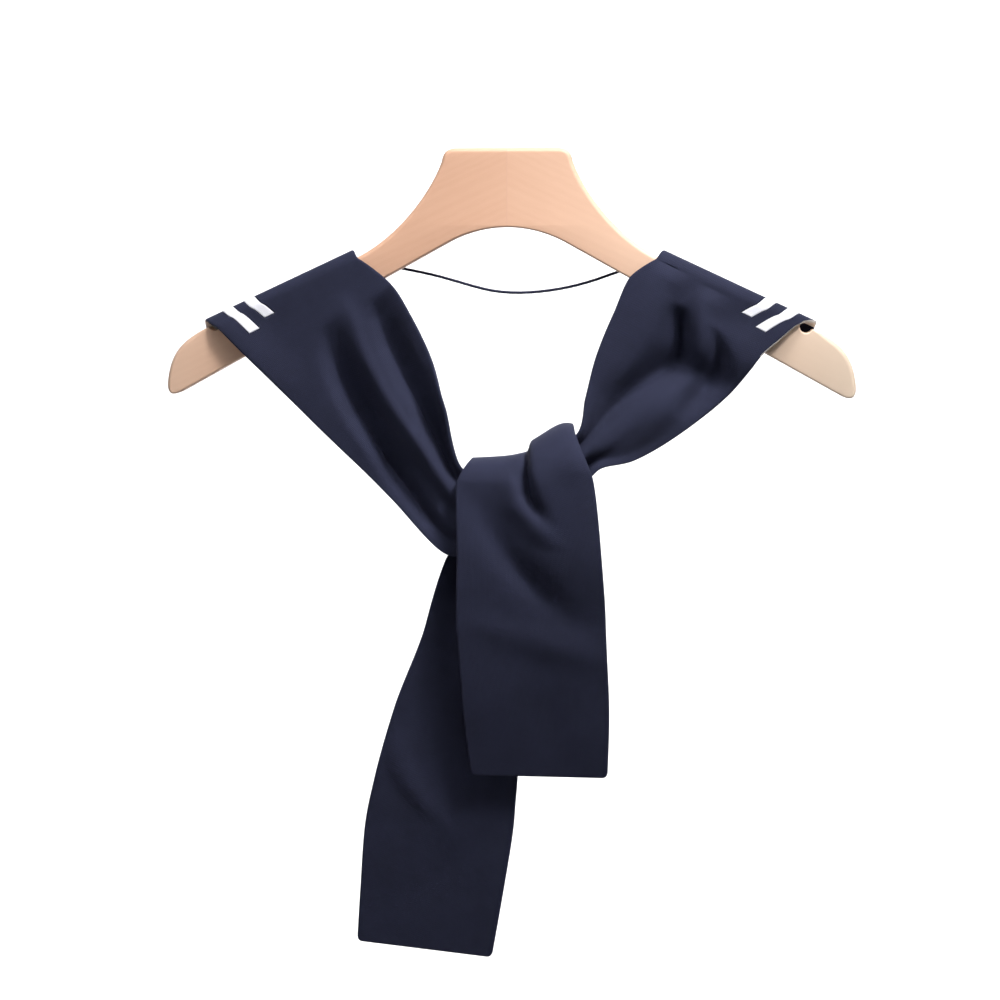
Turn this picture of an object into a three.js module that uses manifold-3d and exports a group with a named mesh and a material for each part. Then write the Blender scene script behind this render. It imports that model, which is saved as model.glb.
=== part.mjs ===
// A knitted sailor collar that hangs tied on a flat wooden hanger.
// Millimetres, +Z up, +X to the right seen from the front, the front towards -Y.
// The origin is the middle of the flat top of the hanger's neck.
import * as THREE from 'three';
import { mergeVertices } from 'three/addons/utils/BufferGeometryUtils.js';
import Module from 'manifold-3d';

// Hanger
const hangerWidth = 427;
const hangerThickness = 12;
const neckWidth = 78;
const neckCorner = 8;
const neckTaper = 1;
const neckFlare = 8;
const rootSweep = 25;
const archTopDrop = 48;
const archRadius = 75;
const armSlope = 24.8;
const armRootX = 92;
const armRootDrop = 65.8;
const underSlope = 28.8;
const edgeRound = 3;
const notchRadius = 4;
const notchFromTip = 31;
const tipCorner = 10;
const tipLevel = 4;
const tipShoulder = 10;
const tipShoulderDrop = 7;
const tipCheek = 2;
const tipCheekDrop = 14;

// Collar
const clothThickness = 2.4;
const clearance = 0.3;
const armClearance = 0.5;
const neckGap = 184;
const shoulderWidth = 104;
const lappetLength = 23;
const crestInset = 3.8;
const crestSkew = 4.4;
const crestTurn = 12;
const strapDrop = 124;
const knotShift = 12;
const knotSize = 60;
const bundleDepth = 10;
const strapForward = 2.5;
const wrapSlack = 4;
const foldSlack = 8;
const tailWidth = 90;
const frontTailLength = 172;
const backTailLength = 291;

// Stripes, measured along the arm from the outer hem
const stripeMargin = 12.5;
const stripeWidth = 7.5;
const stripeGap = 7.5;
const outerStripeFront = 27;
const innerStripeFront = 21;
const stripeInset = 3;
const inlayDepth = 0.9;

// Neck cord
const cordDiameter = 1.8;

// Sizes of the flat faces that the cloth is drawn with
const clothStep = 12;
const clothTurn = 25;
const stripeStep = 6;
const stripeTurn = 20;
const recessReach = 1;

const rad = THREE.MathUtils.degToRad;
const wasm = await Module();
wasm.setup();

const material = (color, roughness) => new THREE.MeshStandardMaterial({ color, roughness, metalness: 0 });
const navy = 0x2b2c42;
const white = 0xe8e8f0;
const wood = 0xe6b99a;

function node(name, geometry, color, roughness) {
  const mesh = new THREE.Mesh(geometry, material(color, roughness));
  mesh.name = name;
  return mesh;
}

// Meshes and solids
function toSolid(geometry) {
  const bare = geometry.clone();
  bare.deleteAttribute('normal');
  bare.deleteAttribute('uv');
  const merged = mergeVertices(bare, 1e-4);
  const vertProperties = new Float32Array(merged.attributes.position.array);
  const triVerts = new Uint32Array(merged.index.array);
  return new wasm.Manifold(new wasm.Mesh({ numProp: 3, vertProperties, triVerts }));
}

function toGeometry(solid) {
  const mesh = solid.getMesh();
  const geometry = new THREE.BufferGeometry();
  geometry.setAttribute('position', new THREE.BufferAttribute(new Float32Array(mesh.vertProperties), 3));
  geometry.setIndex(new THREE.BufferAttribute(new Uint32Array(mesh.triVerts), 1));
  geometry.computeVertexNormals();
  return geometry;
}

// Hanger outline, the right half from the neck's top to the arch, mirrored for the left
const armTopZ = (x) => -armRootDrop - (Math.abs(x) - armRootX) * Math.tan(rad(armSlope));

function hangerHalf() {
  const half = neckWidth / 2;
  const tipX = hangerWidth / 2;
  const archX = archRadius * Math.sin(rad(underSlope));
  const archZ = -archTopDrop - archRadius * (1 - Math.cos(rad(underSlope)));
  const underZ = (x) => archZ - (x - archX) * Math.tan(rad(underSlope));
  const endX = tipX - notchFromTip + notchRadius + tipLevel;
  const endZ = armTopZ(endX);
  const neckFoot = half + neckFlare;
  const rootStart = armRootX - rootSweep;
  const path = new THREE.Path();
  path.moveTo(half - neckCorner, 0);
  path.quadraticCurveTo(half, 0, half + neckTaper, -neckCorner);
  path.bezierCurveTo(neckFoot, -armRootDrop * 0.41, rootStart, -armRootDrop * 0.81, armRootX, armTopZ(armRootX));
  path.lineTo(endX, endZ);
  path.bezierCurveTo(
    tipX - tipShoulder,
    endZ - tipShoulderDrop,
    tipX - tipCheek,
    endZ - tipCheekDrop,
    tipX,
    underZ(tipX) + tipCorner,
  );
  path.quadraticCurveTo(tipX, underZ(tipX), tipX - tipCorner, underZ(tipX - tipCorner));
  path.lineTo(archX, archZ);
  path.absarc(0, -archTopDrop - archRadius, archRadius, Math.PI / 2 - rad(underSlope), Math.PI / 2, false);
  const points = path.getPoints(7);
  return points.filter((point, i) => i === 0 || point.distanceTo(points[i - 1]) > 0.01);
}

function hangerSolid() {
  const right = hangerHalf();
  const left = right.slice(0, -1).reverse().map((p) => new THREE.Vector2(-p.x, p.y));
  const shape = new THREE.Shape([...right, ...left]);
  const geometry = new THREE.ExtrudeGeometry(shape, {
    depth: hangerThickness - 2 * edgeRound,
    bevelEnabled: true,
    bevelThickness: edgeRound,
    bevelSize: edgeRound,
    bevelOffset: -edgeRound,
    bevelSegments: 2,
  });
  geometry.translate(0, 0, -(hangerThickness / 2 - edgeRound));
  geometry.rotateX(Math.PI / 2);
  return [-1, 1].reduce((solid, side) => solid.subtract(toSolid(notchGeometry(side))), toSolid(geometry));
}

function notchGeometry(side) {
  const x = side * (hangerWidth / 2 - notchFromTip);
  const cutter = new THREE.CylinderGeometry(notchRadius, notchRadius, hangerThickness + 2, 16);
  return cutter.translate(x, 0, armTopZ(x));
}

// Smooth interpolation that doesn't overshoot, through equally spaced rows
function between(values, t) {
  const last = values.length - 1;
  const i = Math.min(Math.max(Math.floor(t), 0), last - 1);
  const f = Math.min(Math.max(t, 0), last) - i;
  const step = (k) => values[Math.min(k + 1, last)] - values[Math.max(k, 0)];
  const slope = (k) => {
    if (k === 0 || k === last) {
      return 0.5 * (k === 0 ? step(0) : step(last - 1));
    }
    const before = step(k - 1);
    const after = step(k);
    return before * after <= 0 ? 0 : (2 * before * after) / (before + after);
  };
  const a = values[i];
  const b = values[i + 1];
  const f2 = f * f;
  const f3 = f2 * f;
  return a * (2 * f3 - 3 * f2 + 1) + b * (3 * f2 - 2 * f3)
    + slope(i) * (f3 - 2 * f2 + f) + slope(i + 1) * (f3 - f2);
}

// Layers of cloth through the knot, as depths of each layer's middle
const halfCloth = clothThickness / 2;
const armReach = hangerThickness / 2 + armClearance + halfCloth;
const bundleY = -(armReach + strapForward);
const wrapReach = bundleDepth / 2 + clothThickness + clearance + wrapSlack;
const backPassY = bundleY + wrapReach;
const tailTopY = bundleY - wrapReach - clothThickness - foldSlack;
const tailRestY = bundleY - clothThickness - wrapSlack;
const foldAxisY = (backPassY + tailTopY) / 2;
const foldReach = (backPassY - tailTopY) / 2;

// Places that both panels follow
const shoulderX = neckGap / 2 + (shoulderWidth / 2) * Math.cos(rad(armSlope));
const shoulderZ = armTopZ(shoulderX) - crestInset;
const knot = { x: knotShift, z: shoulderZ - strapDrop };

// The sections of a panel: a centre on an axis, a lean across, and a roll about it.
// A roll of 0 faces the front, -90 and 270 face up, 180 and -180 face the back.
function section(x, z, axisY, reach, rise, lean, roll, width, gather) {
  return { x, z, axisY, reach, rise, lean, roll, width, gather };
}

function armSections(side) {
  const lean = -side * armSlope;
  const shift = [-crestSkew, 0, crestSkew].map((along) => ({
    x: side * (shoulderX - along * Math.cos(rad(armSlope))),
    z: shoulderZ + along * Math.sin(rad(armSlope)),
  }));
  const row = (at, drop, roll) => section(at.x, at.z - drop, 0, armReach, armReach, lean, roll, shoulderWidth, 0);
  return [
    row(shift[0], lappetLength, -180),
    row(shift[0], 0, -180),
    row(shift[1], 0, -90),
    row(shift[2], 0, -crestTurn),
  ];
}

// Columns: across and down as shares of the way from shoulder to knot, depth as a share
// of the way to the knot's layer, lean in degrees, width as a share of the shoulder's,
// gather as a share of the bundle's depth.
const leftStrap = [
  [0.17, 0.13, 0.04, 33, 0.940, 0.00],
  [0.31, 0.33, 0.18, 41, 0.870, 0.00],
  [0.45, 0.55, 0.42, 50, 0.775, 0.02],
  [0.57, 0.77, 0.70, 61, 0.665, 0.05],
];
const rightStrap = [
  [0.17, 0.07, 0.10, -29, 0.910, 0.00],
  [0.30, 0.27, 0.35, -34, 0.830, 0.02],
  [0.45, 0.465, 0.65, -41, 0.680, 0.08],
  [0.59, 0.64, 0.90, -51, 0.470, 0.20],
];

function strapSections(side, rows, layerY, layerReach) {
  const from = { x: side * shoulderX, z: shoulderZ };
  return rows.map(([across, down, depth, lean, width, gather]) => section(
    from.x + (knot.x - from.x) * across,
    from.z + (knot.z - from.z) * down,
    layerY * depth,
    armReach + (layerReach - armReach) * depth,
    armReach,
    lean,
    0,
    shoulderWidth * width,
    gather * bundleDepth,
  ));
}

// Columns: right and up from the knot's middle as shares of the knot's size, lean,
// roll, width as a share of the tail's, gather as a share of the bundle's depth.
const leftWrap = [
  [-0.675, -0.115, 79, 0, 0.60, 0.12],
  [-0.20, -0.20, 66, 0, 0.54, 0.15],
  [0.20, -0.25, 52, 0, 0.55, 0.12],
  [0.20, -0.25, 52, 90, 0.55, 0.12],
  [0.20, -0.25, 52, 180, 0.56, 0.12],
  [0.12, 0.03, 30, 180, 0.70, 0.08],
];
const rightCross = [
  [0.63, 0.50, -60, 0, 0.29, 0.36],
  [0.38, 0.26, -52, 0, 0.31, 0.38],
  [0.05, -0.02, -43, 0, 0.34, 0.40],
  [-0.20, -0.37, -36, 0, 0.42, 0.34],
  [-0.44, -0.83, -26, 0, 0.58, 0.24],
];

function knotSections(rows, reach) {
  return rows.map(([right, up, lean, roll, width, gather]) => section(
    knot.x + right * knotSize,
    knot.z + up * knotSize,
    bundleY,
    reach,
    Math.max(reach, armReach),
    lean,
    roll,
    tailWidth * width,
    gather * bundleDepth,
  ));
}

// The left panel comes up behind the knot and folds over it to fall in front.
// Columns: right and up as in the knot, roll, reach and rise as shares of the fold's
// reach, width as a share of the tail's.
const topFold = [
  [0.00, 0.28, 180, 1.00, 0.55, 0.74],
  [-0.01, 0.30, 270, 1.00, 0.55, 0.705],
  [0.02, 0.20, 345, 1.00, 0.55, 0.93],
];

function foldSections() {
  return topFold.map(([right, up, roll, reach, rise, width]) => section(
    knot.x + right * knotSize,
    knot.z + up * knotSize,
    foldAxisY,
    foldReach * reach,
    foldReach * rise,
    3,
    roll,
    tailWidth * width,
    0,
  ));
}

// Columns: right as a share of the tail's width, down as a share of its length, how far
// the layer has come back towards the bundle, lean, width as a share of the tail's.
const frontTail = [
  [0.05, 0.20, -0.20, 0, 0.99],
  [0.06, 0.42, -0.08, 0, 1.02],
  [0.09, 0.72, 0.22, 0, 1.01],
  [0.11, 1.00, 0.60, 0, 0.95],
];
const backTail = [
  [-0.32, 0.30, 0.10, -14, 0.77],
  [-0.47, 0.48, 0.20, -10, 0.91],
  [-0.56, 0.63, 0.30, -7, 1.01],
  [-0.61, 0.73, 0.35, -4, 1.05],
  [-0.67, 0.885, 0.40, -4, 1.01],
  [-0.715, 1.00, 0.45, -5.5, 0.97],
];

function tailSections(rows, length, layerY, restY, roll, gathers) {
  return rows.map(([right, down, back, lean, width], i) => section(
    knot.x + right * tailWidth,
    knot.z - down * length,
    0,
    -(layerY + (restY - layerY) * back),
    foldReach,
    lean,
    roll,
    tailWidth * width,
    gathers[i] * bundleDepth,
  ));
}

// Folds that run along a panel. Columns: section number, place as a share of the width,
// height outwards as a share of the bundle's depth, spread towards the left edge and
// spread towards the right edge as shares of the width.
const leftFolds = [
  // hollow under the arm, with a sharp brink on its outer side
  [
    [4.00, 0.52, 0.00, 0.06, 0.16], [4.50, 0.42, -0.60, 0.06, 0.18], [5.00, 0.33, -1.10, 0.055, 0.21],
    [5.60, 0.26, -1.30, 0.055, 0.24], [6.70, 0.19, -1.20, 0.07, 0.27], [7.40, 0.18, -0.75, 0.09, 0.26],
    [8.10, 0.22, 0.00, 0.10, 0.24],
  ],
  // ridge that falls off sharply on its inner side
  [
    [3.60, 0.70, 0.00, 0.12, 0.06], [4.20, 0.66, 0.25, 0.12, 0.06], [5.00, 0.58, 0.45, 0.11, 0.05],
    [6.00, 0.53, 0.50, 0.12, 0.05], [7.10, 0.57, 0.45, 0.12, 0.05], [8.00, 0.68, 0.00, 0.10, 0.06],
  ],
  // second hollow, along the inner edge
  [
    [4.10, 0.86, 0.00, 0.05, 0.16], [4.50, 0.80, -0.60, 0.05, 0.16], [5.10, 0.74, -1.10, 0.05, 0.17],
    [6.00, 0.70, -1.20, 0.05, 0.18], [6.90, 0.70, -1.10, 0.05, 0.16], [7.50, 0.77, -0.60, 0.06, 0.14],
    [8.10, 0.85, 0.00, 0.06, 0.10],
  ],
  // inner edge turned forwards beside the knot
  [
    [5.80, 1.00, 0.00, 0.06, 0.05], [6.80, 0.99, 0.50, 0.07, 0.05], [7.40, 0.98, 0.40, 0.08, 0.05],
    [8.00, 0.96, 0.00, 0.06, 0.05],
  ],
  // loop over the knot, a broad rise with a step on its left
  [
    [14.00, 0.95, 0.00, 0.32, 0.30], [14.60, 0.96, 1.15, 0.30, 0.30], [15.00, 0.96, 1.80, 0.28, 0.26],
    [15.50, 0.96, 1.55, 0.27, 0.30], [16.20, 0.96, 1.10, 0.26, 0.34], [17.00, 0.96, 0.55, 0.26, 0.34],
    [18.00, 0.96, 0.00, 0.26, 0.34],
  ],
  [
    [14.40, 0.62, 0.00, 0.04, 0.25], [14.90, 0.61, 0.40, 0.035, 0.25], [15.40, 0.60, 0.60, 0.03, 0.25],
    [16.10, 0.58, 0.60, 0.03, 0.20], [16.40, 0.62, 0.30, 0.05, 0.15], [16.70, 0.68, 0.00, 0.08, 0.12],
  ],
  // pit beside the step, and the soft ridge round it
  [
    [14.80, 0.555, 0.00, 0.05, 0.03], [15.30, 0.555, -0.35, 0.05, 0.03],
    [15.90, 0.53, -0.74, 0.06, 0.035], [16.25, 0.53, -0.68, 0.06, 0.045],
    [16.45, 0.58, -0.30, 0.06, 0.06], [16.65, 0.64, 0.00, 0.06, 0.06],
  ],
  [
    [15.60, 0.38, 0.00, 0.10, 0.05], [16.00, 0.40, 0.25, 0.12, 0.05], [16.40, 0.46, 0.40, 0.12, 0.07],
    [16.65, 0.58, 0.25, 0.12, 0.10], [16.85, 0.68, 0.00, 0.10, 0.10],
  ],
];
const rightFolds = [
  // rise beside the inner edge
  [
    [3.00, 0.12, 0.00, 0.14, 0.10], [3.60, 0.17, 0.42, 0.15, 0.10], [4.60, 0.26, 0.55, 0.18, 0.11],
    [5.60, 0.28, 0.35, 0.18, 0.10], [6.60, 0.20, 0.00, 0.14, 0.08],
  ],
  // main hollow, from the arm down to the knot
  [
    [4.05, 0.39, 0.00, 0.08, 0.06], [4.50, 0.47, -0.90, 0.11, 0.07], [5.00, 0.55, -1.35, 0.13, 0.09],
    [5.80, 0.47, -0.90, 0.12, 0.09], [6.70, 0.38, -0.55, 0.10, 0.09], [7.90, 0.34, 0.00, 0.08, 0.08],
  ],
  // ridge between the hollows
  [
    [3.20, 0.42, 0.00, 0.09, 0.09], [3.70, 0.48, 0.42, 0.09, 0.09], [4.10, 0.55, 0.52, 0.085, 0.09],
    [4.60, 0.64, 0.40, 0.08, 0.08], [5.00, 0.70, 0.00, 0.08, 0.07],
  ],
  // second hollow, near the outer edge
  [
    [4.10, 0.66, 0.00, 0.06, 0.08], [4.50, 0.76, -0.60, 0.06, 0.09], [4.90, 0.82, -1.00, 0.08, 0.12],
    [5.30, 0.84, -0.65, 0.10, 0.12], [5.90, 0.86, 0.00, 0.09, 0.10],
  ],
  // full lobe below them
  [
    [4.90, 0.76, 0.00, 0.12, 0.12], [5.40, 0.72, 0.45, 0.12, 0.12], [6.00, 0.69, 0.60, 0.13, 0.13],
    [6.80, 0.66, 0.50, 0.13, 0.14], [7.60, 0.68, 0.45, 0.12, 0.16], [8.50, 0.72, 0.00, 0.12, 0.14],
  ],
];

// Soft dents and swells in the tails. Columns: section number, place as a share of the
// width, length in sections, spread as a share of the width, slant as shares of the width
// to a section, height outwards as a share of the bundle's depth.
const leftDents = [
  [17.10, 0.42, 0.70, 0.13, 0.36, -0.42],
  [18.30, 0.64, 0.30, 0.32, 1.10, 0.22],
  [19.25, 0.62, 0.45, 0.20, 0.20, -0.15],
];
const rightDents = [
  [15.00, 0.24, 0.80, 0.10, 0.30, 0.25],
  [16.55, 0.56, 0.50, 0.14, -0.20, -0.25],
  [14.30, 0.03, 0.35, 0.06, 0.00, -0.15],
];

function readTrack(track, t) {
  const last = track.length - 1;
  if (t <= track[0][0] || t >= track[last][0]) {
    return { place: 0.5, height: 0, before: 1, after: 1 };
  }
  const k = track.findIndex((row, i) => i < last && t < track[i + 1][0]);
  const f = (t - track[k][0]) / (track[k + 1][0] - track[k][0]);
  const column = (number) => between(track.map((row) => row[number]), k + f);
  return { place: column(1), height: column(2), before: column(3), after: column(4) };
}

// A panel as a surface: t runs over the section numbers, u from 0 to 1 across
class Panel {
  constructor(sections, folds, dents, gatherCount) {
    this.sections = sections;
    this.folds = folds;
    this.dents = dents;
    this.gatherCount = gatherCount;
    const keys = Object.keys(sections[0]);
    this.columns = Object.fromEntries(keys.map((key) => [key, sections.map((row) => row[key])]));
    this.last = sections.length - 1;
  }

  read(key, t) {
    return between(this.columns[key], t);
  }

  height(t, u) {
    const gather = this.read('gather', t) * Math.cos(2 * Math.PI * this.gatherCount * u);
    const folded = this.folds.reduce((sum, track) => {
      const { place, height, before, after } = readTrack(track, t);
      const spread = u < place ? before : after;
      return sum + height * bundleDepth * Math.exp(-(((u - place) / spread) ** 2));
    }, gather);
    return this.dents.reduce((sum, [number, place, length, spread, slant, height]) => {
      const off = t - number;
      const across = u - place - slant * off;
      return sum + height * bundleDepth * Math.exp(-((off / length) ** 2) - (across / spread) ** 2);
    }, folded);
  }

  point(t, u) {
    const lean = rad(this.read('lean', t));
    const roll = rad(this.read('roll', t));
    const across = new THREE.Vector3(Math.cos(lean), 0, Math.sin(lean));
    const down = new THREE.Vector3(Math.sin(lean), 0, -Math.cos(lean));
    const front = new THREE.Vector3(0, -1, 0);
    const lift = this.height(t, u);
    return new THREE.Vector3(this.read('x', t), this.read('axisY', t), this.read('z', t))
      .addScaledVector(front, this.read('reach', t) * Math.cos(roll) + lift * Math.cos(roll))
      .addScaledVector(down, this.read('rise', t) * Math.sin(roll) + lift * Math.sin(roll))
      .addScaledVector(across, (u - 0.5) * this.read('width', t));
  }

  normal(t, u) {
    const dt = 0.03;
    const du = 0.01;
    const along = this.point(t + dt, u).sub(this.point(t - dt, u));
    const across = this.point(t, u + du).sub(this.point(t, u - du));
    return along.cross(across).normalize();
  }

  // Places evenly spread over the length and the turning of the panel
  stations(from, to, stepLength, stepTurn) {
    const fine = 40;
    const count = Math.ceil((to - from) * fine);
    const costs = [0];
    const at = (i) => from + ((to - from) * i) / count;
    for (let i = 1; i <= count; i += 1) {
      const moved = this.point(at(i), 0.5).distanceTo(this.point(at(i - 1), 0.5)) / stepLength;
      const turned = Math.abs(this.read('roll', at(i)) - this.read('roll', at(i - 1))) / stepTurn;
      costs.push(costs[i - 1] + moved + turned);
    }
    const steps = Math.ceil(costs[count]);
    const result = [from];
    let i = 1;
    for (let k = 1; k < steps; k += 1) {
      const target = (costs[count] * k) / steps;
      while (costs[i] < target) {
        i += 1;
      }
      const f = (target - costs[i - 1]) / (costs[i] - costs[i - 1]);
      result.push(at(i - 1 + f));
    }
    result.push(to);
    return result;
  }

  // The distance along the panel, at u across, from one section number to the place sought
  placeAfter(from, distance, u) {
    const step = 0.005;
    let t = from;
    let gone = 0;
    while (gone < distance) {
      gone += this.point(t + step, u).distanceTo(this.point(t, u));
      t += step;
    }
    return t;
  }

  // A closed slab between two offsets from the panel's middle surface
  slab(stations, shares, outer, inner) {
    const positions = [];
    const index = [];
    const wide = shares.length;
    const long = stations.length;
    for (const offset of [outer, inner]) {
      for (const t of stations) {
        for (const u of shares) {
          const point = this.point(t, u).addScaledVector(this.normal(t, u), offset);
          positions.push(point.x, point.y, point.z);
        }
      }
    }
    const id = (layer, i, j) => layer * wide * long + i * wide + j;
    const quad = (a, b, c, d) => index.push(a, b, c, a, c, d);
    for (let i = 0; i < long - 1; i += 1) {
      for (let j = 0; j < wide - 1; j += 1) {
        quad(id(0, i, j), id(0, i + 1, j), id(0, i + 1, j + 1), id(0, i, j + 1));
        quad(id(1, i, j), id(1, i, j + 1), id(1, i + 1, j + 1), id(1, i + 1, j));
      }
      quad(id(0, i, 0), id(1, i, 0), id(1, i + 1, 0), id(0, i + 1, 0));
      quad(id(0, i, wide - 1), id(0, i + 1, wide - 1), id(1, i + 1, wide - 1), id(1, i, wide - 1));
    }
    for (let j = 0; j < wide - 1; j += 1) {
      quad(id(0, 0, j), id(0, 0, j + 1), id(1, 0, j + 1), id(1, 0, j));
      quad(id(0, long - 1, j), id(1, long - 1, j), id(1, long - 1, j + 1), id(0, long - 1, j + 1));
    }
    const geometry = new THREE.BufferGeometry();
    geometry.setAttribute('position', new THREE.BufferAttribute(new Float32Array(positions), 3));
    geometry.setIndex(index);
    geometry.computeVertexNormals();
    return geometry;
  }
}

function spread(from, to, count) {
  return Array.from({ length: count + 1 }, (_, i) => from + ((to - from) * i) / count);
}

// Stripes are knitted into the outer face, each in a shallow recess of its own
function stripeSlab(panel, side, fromHem, frontLength, grow, depth, proud) {
  const near = (fromHem - grow) / shoulderWidth;
  const far = (fromHem + stripeWidth + grow) / shoulderWidth;
  const range = side < 0 ? [near, far] : [1 - far, 1 - near];
  const middle = (range[0] + range[1]) / 2;
  const start = panel.placeAfter(0, stripeInset - grow, middle);
  const end = panel.placeAfter(2, frontLength + grow, middle);
  const stations = panel.stations(start, end, stripeStep, stripeTurn);
  return panel.slab(stations, spread(range[0], range[1], 2), halfCloth + proud, halfCloth - depth);
}

function dressedPanel(name, panel, side, columns) {
  const stripes = [
    [`${name}_outer_stripe`, stripeMargin, outerStripeFront],
    [`${name}_inner_stripe`, stripeMargin + stripeWidth + stripeGap, innerStripeFront],
  ];
  const stations = panel.stations(0, panel.last, clothStep, clothTurn);
  let body = toSolid(panel.slab(stations, spread(0, 1, columns), halfCloth, -halfCloth));
  const nodes = [];
  for (const [stripeName, fromHem, front] of stripes) {
    const recess = stripeSlab(panel, side, fromHem, front, clearance, inlayDepth + clearance, recessReach);
    body = body.subtract(toSolid(recess));
    nodes.push(node(stripeName, stripeSlab(panel, side, fromHem, front, 0, inlayDepth, 0), white, 0.85));
  }
  return [node(`${name}_panel`, toGeometry(body), navy, 0.9), ...nodes];
}

const leftPanel = new Panel([
  ...armSections(-1),
  ...strapSections(-1, leftStrap, bundleY, wrapReach),
  ...knotSections(leftWrap, wrapReach),
  ...foldSections(),
  ...tailSections(frontTail, frontTailLength, tailTopY, tailRestY, 360, [0, 0, 0, 0]),
], leftFolds, leftDents, 3);

const rightPanel = new Panel([
  ...armSections(1),
  ...strapSections(1, rightStrap, bundleY + armReach, armReach),
  ...knotSections(rightCross, 0),
  ...tailSections(backTail, backTailLength, bundleY, bundleY, 0, [0.12, 0.06, 0.03, 0, 0, 0]),
], rightFolds, rightDents, 2);

// The neck cord sags between the panels' inner corners behind the hanger
const cordRoute = [
  [-95.3, 7.5, -68.7], [-92, 7.7, -68.9], [-87, 8, -69.6], [-78, 8, -71.0], [-68, 8, -72.9], [-58, 8, -74.8],
  [-46, 8, -77.4], [-34, 8, -80.6], [-22, 8, -84.0], [-10, 8, -86.8], [3, 8, -88.0],
  [16, 8, -87.6], [28, 8, -86.2], [40, 8, -83.9], [52, 8, -80.6], [63, 8, -76.8],
  [74, 8, -73.0], [83, 8, -70.6], [88, 8, -69.5], [92, 7.7, -68.9], [95.3, 7.5, -68.7],
];

function cordGeometry() {
  const curve = new THREE.CatmullRomCurve3(cordRoute.map(([x, y, z]) => new THREE.Vector3(x, y, z)));
  const shape = new THREE.Shape();
  const sides = 8;
  for (let i = 0; i < sides; i += 1) {
    const angle = (2 * Math.PI * i) / sides;
    const at = [(cordDiameter / 2) * Math.cos(angle), (cordDiameter / 2) * Math.sin(angle)];
    if (i === 0) {
      shape.moveTo(...at);
    } else {
      shape.lineTo(...at);
    }
  }
  return new THREE.ExtrudeGeometry(shape, { steps: 40, bevelEnabled: false, extrudePath: curve });
}

const collar = new THREE.Group();
collar.add(node('hanger', toGeometry(hangerSolid()), wood, 0.6));
collar.add(...dressedPanel('left', leftPanel, -1, 15));
collar.add(...dressedPanel('right', rightPanel, 1, 13));
collar.add(node('neck_cord', cordGeometry(), navy, 0.8));

export default collar;
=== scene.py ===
import math

import bmesh
import bpy
import numpy as np
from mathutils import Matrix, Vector, geometry


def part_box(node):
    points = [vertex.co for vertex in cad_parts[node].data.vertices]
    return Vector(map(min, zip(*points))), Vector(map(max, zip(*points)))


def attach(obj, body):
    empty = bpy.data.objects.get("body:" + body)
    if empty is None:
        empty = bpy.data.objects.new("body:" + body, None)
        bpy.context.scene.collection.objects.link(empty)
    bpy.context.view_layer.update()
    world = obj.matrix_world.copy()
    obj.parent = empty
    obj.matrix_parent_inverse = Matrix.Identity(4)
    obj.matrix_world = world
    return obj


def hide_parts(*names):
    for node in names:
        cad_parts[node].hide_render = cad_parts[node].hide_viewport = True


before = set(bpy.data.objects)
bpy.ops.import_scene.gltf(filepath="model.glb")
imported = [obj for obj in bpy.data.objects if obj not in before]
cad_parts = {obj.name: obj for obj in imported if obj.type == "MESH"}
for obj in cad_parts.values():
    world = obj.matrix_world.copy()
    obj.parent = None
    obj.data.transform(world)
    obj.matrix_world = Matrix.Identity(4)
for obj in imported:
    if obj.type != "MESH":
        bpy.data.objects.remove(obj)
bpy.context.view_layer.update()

# Hanger
HANGER_LOW, HANGER_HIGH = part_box("hanger")
HANGER_WIDTH = HANGER_HIGH.x - HANGER_LOW.x
HANGER_THICKNESS = HANGER_HIGH.y - HANGER_LOW.y
NECK_WIDTH = 0.078
NECK_CORNER = 0.008
NECK_TAPER = 0.001
NECK_FLARE = 0.008
ARCH_TOP_DROP = 0.048
ARCH_RADIUS = 0.075
ARM_SLOPE = 24.8
ARM_ROOT_X = 0.092
ARM_ROOT_DROP = 0.0658
ROOT_SWEEP = 0.025
UNDER_SLOPE = 28.8
NOTCH_RADIUS = 0.004
NOTCH_LIP = 0.0012
NOTCH_FROM_TIP = 0.031
TIP_LEVEL = 0.004
TIP_SHOULDER = 0.010
TIP_SHOULDER_DROP = 0.007
TIP_CHEEK = 0.002
TIP_CHEEK_DROP = 0.014
TIP_CORNER = 0.010

# The two bends of the neck's side, as shares of the drop to the arm's root
NECK_BEND_DROP = 0.41
ROOT_BEND_DROP = 0.81

# Points on each stretch of the outline, and the least gap between two of them
OUTLINE_POINT_GAP = 0.00001
LIP_POINTS = 7
NOTCH_POINTS = 19
NECK_CORNER_POINTS = 12
NECK_POINTS = 30
TIP_POINTS = 20
TIP_CORNER_POINTS = 14
ARCH_POINTS = 20

# Rounding of the hanger's edges: fine at the notch, full at three of its radii away,
# and less on the arms' under sides
EDGE_ROUND = 0.003
NOTCH_EDGE_ROUND = 0.0009
NOTCH_EDGE_REACH = 3
UNDER_EDGE_SHARPER = 0.6
EDGE_RINGS = 8

# Collar
CLOTH = 0.0024
CLEARANCE = 0.0003
ARM_CLEARANCE = 0.0005
NECK_GAP = 0.184
SHOULDER_WIDTH = 0.104
LAPPET_LENGTH = 0.023
CREST_INSET = 0.0038
CREST_SKEW = 0.0044
FRONT_SKEW = 0.0042
FRONT_NARROWING = 0.96
CREST_TURN = 12
STRAP_DROP = 0.124
KNOT_SHIFT = 0.012
KNOT_SIZE = 0.060
BUNDLE_DEPTH = 0.010
STRAP_FORWARD = 0.0025
WRAP_SLACK = 0.004
FOLD_SLACK = 0.008
FOLD_LEAN = 3
TAIL_WIDTH = 0.090
FRONT_TAIL_LENGTH = 0.172
BACK_TAIL_LENGTH = 0.291
LEFT_GATHERS = 3
RIGHT_GATHERS = 2

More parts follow.
